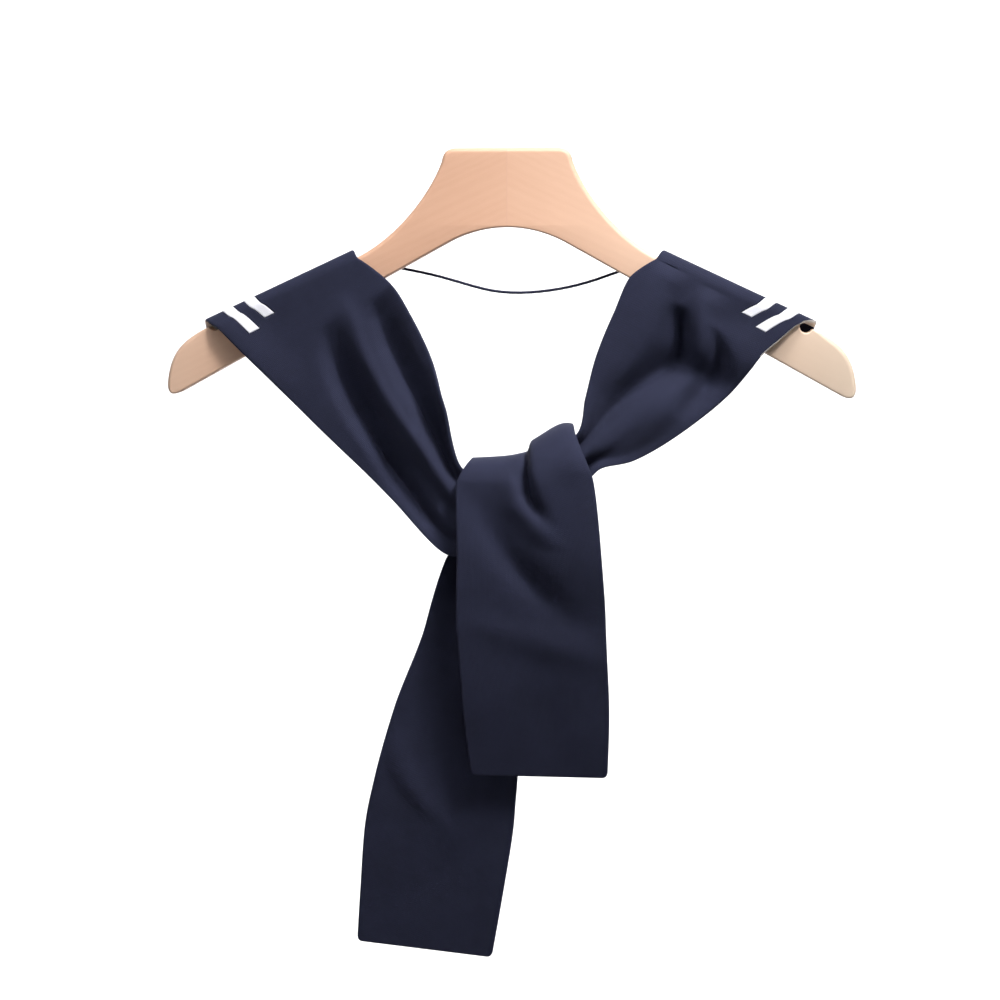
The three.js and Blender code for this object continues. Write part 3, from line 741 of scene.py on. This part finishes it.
RIGHT_FOLDS = [
    # rise beside the inner edge
    [
        (3.00, 0.12, 0.00, 0.14, 0.10), (3.60, 0.17, 0.42, 0.15, 0.10), (4.60, 0.26, 0.55, 0.18, 0.11),
        (5.60, 0.28, 0.35, 0.18, 0.10), (6.60, 0.20, 0.00, 0.14, 0.08),
    ],
    # main hollow, from the arm down to the knot
    [
        (4.05, 0.39, 0.00, 0.08, 0.06), (4.50, 0.47, -0.90, 0.11, 0.07), (5.00, 0.55, -1.35, 0.13, 0.09),
        (5.80, 0.47, -0.90, 0.12, 0.09), (6.70, 0.38, -0.55, 0.10, 0.09), (7.90, 0.34, 0.00, 0.08, 0.08),
    ],
    # ridge between the hollows
    [
        (3.20, 0.42, 0.00, 0.09, 0.09), (3.70, 0.48, 0.42, 0.09, 0.09), (4.10, 0.55, 0.52, 0.085, 0.09),
        (4.60, 0.64, 0.40, 0.08, 0.08), (5.00, 0.70, 0.00, 0.08, 0.07),
    ],
    # second hollow, near the outer edge
    [
        (4.10, 0.66, 0.00, 0.06, 0.08), (4.50, 0.76, -0.60, 0.06, 0.09), (4.90, 0.82, -1.00, 0.08, 0.12),
        (5.30, 0.84, -0.65, 0.10, 0.12), (5.90, 0.86, 0.00, 0.09, 0.10),
    ],
    # full lobe below them
    [
        (4.90, 0.76, 0.00, 0.12, 0.12), (5.40, 0.72, 0.45, 0.12, 0.12), (6.00, 0.69, 0.60, 0.13, 0.13),
        (6.80, 0.66, 0.50, 0.13, 0.14), (7.60, 0.68, 0.45, 0.12, 0.16), (8.50, 0.72, 0.00, 0.12, 0.14),
    ],
    # outer hem lifted off the arm
    [
        (2.30, 1.00, 0.00, 0.12, 0.10), (2.90, 1.00, 0.06, 0.14, 0.10), (3.60, 1.00, 0.34, 0.22, 0.10),
        (4.30, 1.00, 0.55, 0.30, 0.10), (4.90, 1.00, 0.10, 0.30, 0.10), (5.30, 1.00, 0.00, 0.26, 0.10),
    ],
]

# Soft dents and swells. Columns: section number, place as a share of the width, length
# in sections, spread as a share of the width, slant as shares of the width to a section,
# height outwards as a share of the bundle's depth.
LEFT_DENTS = [
    # front tail, across its folds
    (17.10, 0.42, 0.70, 0.13, 0.36, -0.42),
    (18.30, 0.64, 0.30, 0.32, 1.10, 0.22),
    (19.25, 0.62, 0.45, 0.20, 0.20, -0.15),
    # outer edge set back above the knot
    (6.70, 0.02, 0.85, 0.20, 0.00, -0.80),
    # swell down from the loop, and the tail's lesser dents
    (16.70, 0.66, 1.30, 0.26, 0.00, 0.62),
    (17.40, 0.55, 0.50, 0.15, 0.12, -0.26),
    (18.90, 0.30, 0.50, 0.26, -0.12, 0.16),
    (19.40, 0.78, 0.40, 0.20, 0.08, 0.12),
]
RIGHT_DENTS = [
    # back tail
    (15.00, 0.24, 0.80, 0.10, 0.30, 0.25),
    (16.55, 0.56, 0.50, 0.14, -0.20, -0.25),
    (14.30, 0.03, 0.35, 0.06, 0.00, -0.15),
    # strap: the main hollow's head, the lobe's outer side, and a broad hollow above it
    (4.30, 0.43, 0.30, 0.08, 0.10, -0.18),
    (6.50, 0.80, 0.90, 0.10, 0.00, 0.32),
    (5.20, 0.66, 0.50, 0.20, 0.00, -0.45),
]


class Panel:
    """A panel's middle surface: t runs over the section numbers, u from 0 to 1 across."""

    def __init__(self, sections, folds, dents, gather_count):
        self.columns = dict(zip(KEYS, np.array(sections, dtype=float).T))
        self.folds = folds
        self.dents = dents
        self.gather_count = gather_count
        self.last = len(sections) - 1
        self.fine = np.linspace(0, self.last, self.last * SAMPLES_PER_SECTION + 1)
        self.gone = length_along(self.point(self.fine, np.full_like(self.fine, 0.5)))

    def read(self, key, t):
        return between(self.columns[key], t)

    def height(self, t, u):
        """How far the gathers, folds and dents lift the surface outwards."""
        total = self.read("gather", t) * np.cos(2 * math.pi * self.gather_count * u)
        for track in self.folds:
            rows = np.array(track)
            inside = (t > rows[0, 0]) & (t < rows[-1, 0])
            row = np.interp(t, rows[:, 0], np.arange(len(rows)))
            place, height, before, after = (between(rows[:, k], row) for k in (1, 2, 3, 4))
            spread = np.where(u < place, before, after)
            lift = height * BUNDLE_DEPTH * np.exp(-(((u - place) / spread) ** 2))
            total = total + np.where(inside, lift, 0)
        for number, place, length, spread, slant, height in self.dents:
            off = t - number
            across = u - place - slant * off
            total = total + height * BUNDLE_DEPTH * np.exp(-((off / length) ** 2) - (across / spread) ** 2)
        return total

    def point(self, t, u):
        lean = np.radians(self.read("lean", t))
        roll = np.radians(self.read("roll", t))
        lift = self.height(t, u)
        forward = (self.read("reach", t) + lift) * np.cos(roll)
        down = (self.read("rise", t) + lift) * np.sin(roll)
        across = (u - 0.5) * self.read("width", t)
        return np.stack([
            self.read("x", t) + down * np.sin(lean) + across * np.cos(lean),
            self.read("axis_y", t) - forward,
            self.read("z", t) - down * np.cos(lean) + across * np.sin(lean),
        ], axis=-1)

    def normal(self, t, u):
        along = self.point(t + NORMAL_STEP_ALONG, u) - self.point(t - NORMAL_STEP_ALONG, u)
        across = self.point(t, u + NORMAL_STEP_ACROSS) - self.point(t, u - NORMAL_STEP_ACROSS)
        return unit(np.cross(along, across))

    def place_after(self, start, distance, u):
        """The section number that lies the distance further along the panel, at u across."""
        t = np.arange(start, self.last, WALK_STEP)
        return float(np.interp(distance, length_along(self.point(t, np.full_like(t, u))), t))

    def stations(self, start, end, extra=()):
        """Section numbers evenly spread over length and turning, with a rounded rim at both ends."""
        inside = (self.fine >= start) & (self.fine <= end)
        fine = self.fine[inside]
        turned = np.abs(np.diff(self.read("roll", fine), prepend=self.read("roll", fine[:1])))
        moved = np.diff(self.gone[inside], prepend=self.gone[inside][0])
        cost = np.cumsum(moved / ROW_STEP + turned / ROW_TURN)
        places = np.interp(np.linspace(0, cost[-1], int(cost[-1]) + 2), cost, fine)
        first, last = np.interp([start, end], self.fine, self.gone)
        rims = np.interp([first + r for r in RIM[1:]] + [last - r for r in RIM[1:]], self.gone, self.fine)
        keep = (places > max(rims[:len(RIM) - 1])) & (places < min(rims[len(RIM) - 1:]))
        return np.unique(np.concatenate([[start, end], rims, places[keep], extra]))


# The rim of a slab of cloth is a half circle, drawn by rows at these distances in
RIM = [HALF_CLOTH * share for share in (0.0, 0.08, 0.3, 0.65, 1.0)]


def quarter_round(inward):
    """The height of a rounded edge, where inward runs from 0 at the edge to 1 at its top."""
    return np.sqrt(1 - (1 - np.clip(inward, 0, 1)) ** 2)


def column_shares(extra=()):
    """Shares across the panel, with a rounded rim at both edges."""
    rim = np.array(RIM) / SHOULDER_WIDTH
    count = int(round(SHOULDER_WIDTH / COLUMN_STEP))
    even = np.linspace(rim[-1], 1 - rim[-1], count)
    return np.unique(np.round(np.concatenate([rim, even, 1 - rim, extra]), SHARE_DIGITS))


def grid_faces(index, reverse=False):
    a, b, c, d = index[:-1, :-1], index[1:, :-1], index[1:, 1:], index[:-1, 1:]
    quads = np.stack([a, b, c, d], axis=-1).reshape(-1, 4)
    return quads[:, ::-1] if reverse else quads


def drawn_hem(t, u):
    """Shares across, with the right hem drawn in round the crest, where the arm's notch shows."""
    inset = np.interp(t, HEM_INSET_AT, HEM_INSET) / SHOULDER_WIDTH
    near = np.clip(1 - (1 - u) * SHOULDER_WIDTH / HEM_INSET_REACH, 0, 1)
    return u - inset * near


def soft_corners(panel, t, u):
    """Shares across, drawn in near both ends so that the four corners are rounded."""
    gone = np.interp(t, panel.fine, panel.gone)
    from_end = np.minimum(gone, panel.gone[-1] - gone)
    inset = HEM_CORNER * (1 - quarter_round(from_end / HEM_CORNER)) / panel.read("width", t)
    return 0.5 + (u - 0.5) * (1 - 2 * inset)


def cloth_slab(name, panel, t, u, outer, inner, materials, face_materials=None):
    """A closed slab between two offsets from the panel's middle surface, joined at its border."""
    middle = panel.point(t, u)
    normal = panel.normal(t, u)
    shape = t.shape
    border = np.ones(shape, dtype=bool)
    border[1:-1, 1:-1] = False
    outside = np.arange(t.size).reshape(shape)
    within = outside.copy()
    within[~border] = t.size + np.arange((~border).sum())
    top = middle + normal * outer[..., None]
    bottom = (middle + normal * inner[..., None])[~border]
    run = np.cumsum(np.linalg.norm(np.diff(middle, axis=0, prepend=middle[:1]), axis=2), axis=0)
    stitches = np.stack([u * SHOULDER_WIDTH / WALE, run / COURSE], axis=-1)
    points = np.concatenate([top.reshape(-1, 3), bottom])
    uv = np.concatenate([stitches.reshape(-1, 2), stitches[~border]])
    faces = np.concatenate([grid_faces(outside), grid_faces(within, reverse=True)])
    return mesh_object(name, points, faces, materials, face_materials, uv)


# Stripes are knitted into the outer face, each in a shallow recess of its own
def stripe_extent(panel, side, from_hem, front):
    """A stripe's first and last section numbers, and its two edges as shares across."""
    near = from_hem / SHOULDER_WIDTH
    far = (from_hem + STRIPE_WIDTH) / SHOULDER_WIDTH
    low, high = (near, far) if side < 0 else (1 - far, 1 - near)
    middle = (low + high) / 2
    start = panel.place_after(0, STRIPE_INSET, middle)
    end = panel.place_after(CREST_SECTION, front, middle)
    return start, end, low, high


# A panel's materials, by number
FACE, REVERSE, PALE = range(3)
PANEL_MATERIALS = [navy_face, navy_reverse, pale_reverse]


def panel_face_materials(t, u, side):
    """The material of each face of the outer side, then of each of the reverse."""
    # The pale yarns of the stripes float across the reverse of the shoulder and turn at the hem
    middle_u = (u[1:, 1:] + u[1:, :-1]) / 2
    from_hem = SHOULDER_WIDTH * (middle_u if side < 0 else 1 - middle_u)
    row = t[1:, 1:]
    floats = (from_hem < PALE_WIDTH) & (row > PALE_START[side]) & (row < PALE_END)
    rim = (from_hem < PALE_RIM) & (row < PALE_RIM_END[side])
    return np.concatenate([np.where(rim, PALE, FACE).ravel(), np.where(floats, PALE, REVERSE).ravel()])


def make_panel(name, panel, side):
    inner_margin = STRIPE_MARGIN + STRIPE_WIDTH + STRIPE_GAP
    stripes = {
        f"{name}_outer_stripe": stripe_extent(panel, side, STRIPE_MARGIN, OUTER_STRIPE_FRONT),
        f"{name}_inner_stripe": stripe_extent(panel, side, inner_margin, INNER_STRIPE_FRONT),
    }
    seam = STRIPE_SEAM / SHOULDER_WIDTH
    extra_rows = []
    extra_columns = []
    for start, end, low, high in stripes.values():
        extra_rows += [start - STRIPE_END_SEAM, start, end, end + STRIPE_END_SEAM]
        extra_columns += [low - seam, low, high, high + seam]
    rows = panel.stations(0, panel.last, extra_rows)
    t, u = np.meshgrid(rows, column_shares(extra_columns), indexing="ij")
    gone = np.interp(t, panel.fine, panel.gone)
    from_end = np.minimum(gone, panel.gone[-1] - gone)
    from_side = np.minimum(u, 1 - u) * SHOULDER_WIDTH
    thick = HALF_CLOTH * quarter_round(from_end / HALF_CLOTH) * quarter_round(from_side / HALF_CLOTH)
    outer = thick.copy()
    for start, end, low, high in stripes.values():
        inside = (t > start - STRIPE_END_SEAM / 2) & (t < end + STRIPE_END_SEAM / 2)
        inside &= (u > low - seam / 2) & (u < high + seam / 2)
        outer = np.where(inside, thick - INLAY_DEPTH, outer)
    across = soft_corners(panel, t, u)
    if side > 0:
        across = drawn_hem(t, across)
    made = cloth_slab(f"{name}_knit_panel", panel, t, across, outer, -thick,
                      PANEL_MATERIALS, panel_face_materials(t, u, side))
    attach(made, "root")
    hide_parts(f"{name}_panel")
    for stripe_name, extent in stripes.items():
        make_stripe(stripe_name, panel, *extent)


def make_stripe(name, panel, start, end, low, high):
    """A stripe that fills its recess up to a seam all round, with a rounded rim."""
    start += STRIPE_END_SEAM
    end -= STRIPE_END_SEAM
    low += STRIPE_SEAM / SHOULDER_WIDTH
    high -= STRIPE_SEAM / SHOULDER_WIDTH
    rim_columns = np.array(STRIPE_RIM) / SHOULDER_WIDTH
    middle = np.linspace(low + rim_columns[-1], high - rim_columns[-1], STRIPE_COLUMNS)
    columns = np.unique(np.concatenate([low + rim_columns, middle, high - rim_columns]))
    first, last = np.interp([start, end], panel.fine, panel.gone)
    first_rows = np.interp([first + r for r in STRIPE_RIM], panel.gone, panel.fine)
    last_rows = np.interp([last - r for r in STRIPE_RIM], panel.gone, panel.fine)
    body = panel.stations(first_rows[-1], last_rows[-1])
    margin = STRIPE_ROW_MARGIN
    body = body[(body > first_rows[-1] + margin) & (body < last_rows[-1] - margin)]
    rows = np.unique(np.concatenate([first_rows, body, last_rows]))
    t, u = np.meshgrid(rows, columns, indexing="ij")
    gone = np.interp(t, panel.fine, panel.gone)
    from_end = np.minimum(gone - first, last - gone)
    from_side = np.minimum(u - low, high - u) * SHOULDER_WIDTH
    crown = quarter_round(np.minimum(from_end, from_side) / STRIPE_RIM[-1])
    seat = HALF_CLOTH - INLAY_DEPTH + STRIPE_SEAT_GAP
    shoulder = seat + STRIPE_SIDE
    outer = shoulder + (HALF_CLOTH + STRIPE_PROUD - shoulder) * crown
    made = cloth_slab(f"{name}_knit", panel, t, u, outer, np.full(t.shape, seat), [white_face])
    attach(made, "root")
    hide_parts(name)


left_panel = Panel(
    arm_sections(-1)
    + strap_sections(-1, LEFT_STRAP, BUNDLE_Y, WRAP_REACH)
    + knot_sections(LEFT_WRAP, WRAP_REACH)
    + fold_sections()
    + tail_sections(FRONT_TAIL, FRONT_TAIL_LENGTH, TAIL_TOP_Y, TAIL_REST_Y, FULL_TURN),
    LEFT_FOLDS, LEFT_DENTS, LEFT_GATHERS)
right_panel = Panel(
    arm_sections(1)
    + strap_sections(1, RIGHT_STRAP, BUNDLE_Y + ARM_REACH, ARM_REACH)
    + knot_sections(RIGHT_CROSS, 0)
    + tail_sections(BACK_TAIL, BACK_TAIL_LENGTH, BUNDLE_Y, BUNDLE_Y, 0),
    RIGHT_FOLDS, RIGHT_DENTS, RIGHT_GATHERS)
make_panel("left", left_panel, -1)
make_panel("right", right_panel, 1)


# Hanger outline, in x and z
def bezier(points, count):
    """Points on a curve through the first and last of three or four control points."""
    p = np.array(points)
    f = np.linspace(0, 1, count)[:, None]
    if len(p) == 3:
        return (1 - f) ** 2 * p[0] + 2 * f * (1 - f) * p[1] + f**2 * p[2]
    return ((1 - f) ** 3 * p[0] + 3 * f * (1 - f) ** 2 * p[1] + 3 * f**2 * (1 - f) * p[2] + f**3 * p[3])


def notch_outline():
    """The strap notch in the top of the right arm, a half round cut with softened lips."""
    tilt = math.radians(ARM_SLOPE)
    x = HANGER_WIDTH / 2 - NOTCH_FROM_TIP
    centre = np.array([x, arm_top_z(x)])
    along = np.array([math.cos(tilt), -math.sin(tilt)])
    inward = np.array([-math.sin(tilt), -math.cos(tilt)])
    reach = NOTCH_RADIUS + NOTCH_LIP
    lip_along = math.sqrt(reach**2 - NOTCH_LIP**2)
    meet = math.asin(NOTCH_LIP / reach)
    points = []
    for a in np.linspace(math.pi / 2, meet, LIP_POINTS):
        points.append(centre - along * lip_along + inward * NOTCH_LIP
                      + NOTCH_LIP * (along * math.cos(a) - inward * math.sin(a)))
    for a in np.linspace(meet, math.pi - meet, NOTCH_POINTS)[1:-1]:
        points.append(centre + NOTCH_RADIUS * (-along * math.cos(a) + inward * math.sin(a)))
    for a in np.linspace(meet, math.pi / 2, LIP_POINTS):
        points.append(centre + along * lip_along + inward * NOTCH_LIP
                      + NOTCH_LIP * (-along * math.cos(a) - inward * math.sin(a)))
    return np.array(points)


def hanger_outline():
    half = NECK_WIDTH / 2
    tip_x = HANGER_WIDTH / 2
    under = math.radians(UNDER_SLOPE)
    arch_x = ARCH_RADIUS * math.sin(under)
    arch_z = -ARCH_TOP_DROP - ARCH_RADIUS * (1 - math.cos(under))
    end_x = tip_x - NOTCH_FROM_TIP + NOTCH_RADIUS + TIP_LEVEL

    def under_z(x):
        return arch_z - (x - arch_x) * math.tan(under)

    neck_side = (half + NECK_TAPER, -NECK_CORNER)
    neck_bend = (half + NECK_FLARE, -ARM_ROOT_DROP * NECK_BEND_DROP)
    root_bend = (ARM_ROOT_X - ROOT_SWEEP, -ARM_ROOT_DROP * ROOT_BEND_DROP)
    root = (ARM_ROOT_X, arm_top_z(ARM_ROOT_X))
    end_z = arm_top_z(end_x)
    shoulder = (tip_x - TIP_SHOULDER, end_z - TIP_SHOULDER_DROP)
    cheek = (tip_x - TIP_CHEEK, end_z - TIP_CHEEK_DROP)
    tip = (tip_x, under_z(tip_x) + TIP_CORNER)
    tip_under = (tip_x - TIP_CORNER, under_z(tip_x - TIP_CORNER))
    arch = [(ARCH_RADIUS * math.sin(a), -ARCH_TOP_DROP - ARCH_RADIUS * (1 - math.cos(a)))
            for a in np.linspace(under, 0, ARCH_POINTS)]
    right = np.concatenate([
        bezier([(half - NECK_CORNER, 0), (half, 0), neck_side], NECK_CORNER_POINTS),
        bezier([neck_side, neck_bend, root_bend, root], NECK_POINTS),
        notch_outline(),
        bezier([(end_x, end_z), shoulder, cheek, tip], TIP_POINTS),
        bezier([tip, (tip_x, under_z(tip_x)), tip_under], TIP_CORNER_POINTS),
        [(arch_x, arch_z)],
        arch,
    ])
    gaps = np.linalg.norm(np.diff(right, axis=0), axis=1)
    right = right[np.concatenate([[True], gaps > OUTLINE_POINT_GAP])]
    left = right[:-1][::-1] * np.array([-1, 1])
    return np.concatenate([right, left])


def make_hanger():
    outline = hanger_outline()
    before = np.roll(outline, 1, axis=0)
    after = np.roll(outline, -1, axis=0)
    tangent = unit(unit(outline - before) + unit(after - outline))
    inward = np.stack([tangent[:, 1], -tangent[:, 0]], axis=1)
    notch_x = HANGER_WIDTH / 2 - NOTCH_FROM_TIP
    gap = np.hypot(np.abs(outline[:, 0]) - notch_x, outline[:, 1] - arm_top_z(notch_x))
    away = np.clip((gap - NOTCH_RADIUS) / (NOTCH_EDGE_REACH * NOTCH_RADIUS), 0, 1)
    rounding = NOTCH_EDGE_ROUND + (EDGE_ROUND - NOTCH_EDGE_ROUND) * away * away * (3 - 2 * away)
    rounding *= 1 - UNDER_EDGE_SHARPER * np.clip(inward[:, 1], 0, 1)
    rings = []
    quarter = np.linspace(math.pi / 2, 0, EDGE_RINGS)
    for side, angles in ((-1, quarter), (1, quarter[::-1])):
        for a in angles:
            flat = outline + inward * (rounding * (1 - math.cos(a)))[:, None]
            y = side * (HANGER_THICKNESS / 2 - rounding * (1 - math.sin(a)))
            rings.append(np.stack([flat[:, 0], y, flat[:, 1]], axis=1))
    count = len(outline)
    index = np.arange(count * len(rings)).reshape(len(rings), count)
    wrapped = np.concatenate([index, index[:, :1]], axis=1)
    faces = [tuple(face) for face in grid_faces(wrapped)]
    for ring, start in ((rings[0], 0), (rings[-1], count * (len(rings) - 1))):
        flat = [Vector((p[0], p[2], 0)) for p in ring]
        for triangle in geometry.tessellate_polygon([flat]):
            faces.append(tuple(start + i for i in triangle))
    piece = mesh_object("wooden_hanger", np.concatenate(rings), faces, [pale_wood])
    turned = bmesh.new()
    turned.from_mesh(piece.data)
    bmesh.ops.recalc_face_normals(turned, faces=turned.faces)
    turned.to_mesh(piece.data)
    turned.free()
    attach(piece, "root")
    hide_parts("hanger")


make_hanger()


# Stage: a pale floor that curves up all round, and soft lights
FLOOR_Z = -1.2
STAGE_RADIUS = 2.6
STAGE_CURVE = 0.9
STAGE_CURVE_POINTS = 16
STAGE_HEIGHT = 3.2
STAGE_SIDES = 96
STAGE_COLOUR = (0.42, 0.42, 0.422, 1)
STAGE_ROUGHNESS = 0.9
WORLD_STRENGTH = 0.12


def make_stage():
    nodes = Nodes("stage_white")
    nodes.shader.inputs["Base Color"].default_value = STAGE_COLOUR
    nodes.shader.inputs["Roughness"].default_value = STAGE_ROUGHNESS
    flat_radius = STAGE_RADIUS - STAGE_CURVE
    profile = [(flat_radius, 0.0)]
    for a in np.linspace(0, math.pi / 2, STAGE_CURVE_POINTS)[1:]:
        profile.append((flat_radius + STAGE_CURVE * math.sin(a), STAGE_CURVE * (1 - math.cos(a))))
    profile.append((STAGE_RADIUS, STAGE_HEIGHT))
    points = [(0.0, 0.0, FLOOR_Z)]
    for radius, height in profile:
        for a in np.linspace(0, 2 * math.pi, STAGE_SIDES, endpoint=False):
            points.append((radius * math.cos(a), radius * math.sin(a), FLOOR_Z + height))
    faces = [(0, 1 + j, 1 + (j + 1) % STAGE_SIDES) for j in range(STAGE_SIDES)]
    for i in range(len(profile) - 1):
        low = 1 + i * STAGE_SIDES
        high = low + STAGE_SIDES
        for j in range(STAGE_SIDES):
            k = (j + 1) % STAGE_SIDES
            faces.append((low + j, high + j, high + k, low + k))
    stage = mesh_object("stage", points, faces, [nodes.material])


def make_light(name, place, target, size, power, cone=None, depth=None):
    """A soft round lamp, a bar where a depth is given, or a soft-edged spot with a cone in degrees."""
    data = bpy.data.lights.new(name, "AREA" if cone is None else "SPOT")
    if cone is None:
        data.shape = "DISK" if depth is None else "RECTANGLE"
        data.size = size
        data.size_y = depth or size
    else:
        data.shadow_soft_size = size / 2
        data.spot_size = math.radians(cone)
        data.spot_blend = 1.0
    data.energy = power
    light = bpy.data.objects.new(name, data)
    light.location = place
    aim = Vector(target) - Vector(place)
    light.rotation_euler = aim.to_track_quat("-Z", "Y").to_euler()
    bpy.context.scene.collection.objects.link(light)


make_stage()
make_light("key", place=(1.18, -1.08, 2.12), target=(0, 0, 0.04), size=0.60, power=440, cone=20)
make_light("knot_spot", place=(0.50, -0.75, 0.75), target=(0.035, 0, -0.185), size=0.16, power=40, cone=11)
make_light("top_bar", place=(0.06, -0.25, 0.45), target=(0, 0, -0.10), size=0.70, power=3.2, depth=0.12)
make_light("fill", place=(-0.9, -1.6, 0.6), target=(0, 0, -0.2), size=1.2, power=0.8)
make_light("wall_wash", place=(0, 1.5, 1.5), target=(0, 2.6, 0.5), size=1.2, power=250)
world = bpy.data.worlds.new("studio")
world.use_nodes = True
background = world.node_tree.nodes["Background"]
background.inputs["Color"].default_value = (1, 1, 1, 1)
background.inputs["Strength"].default_value = WORLD_STRENGTH
bpy.context.scene.world = world
bpy.context.scene.view_settings.view_transform = "Standard"
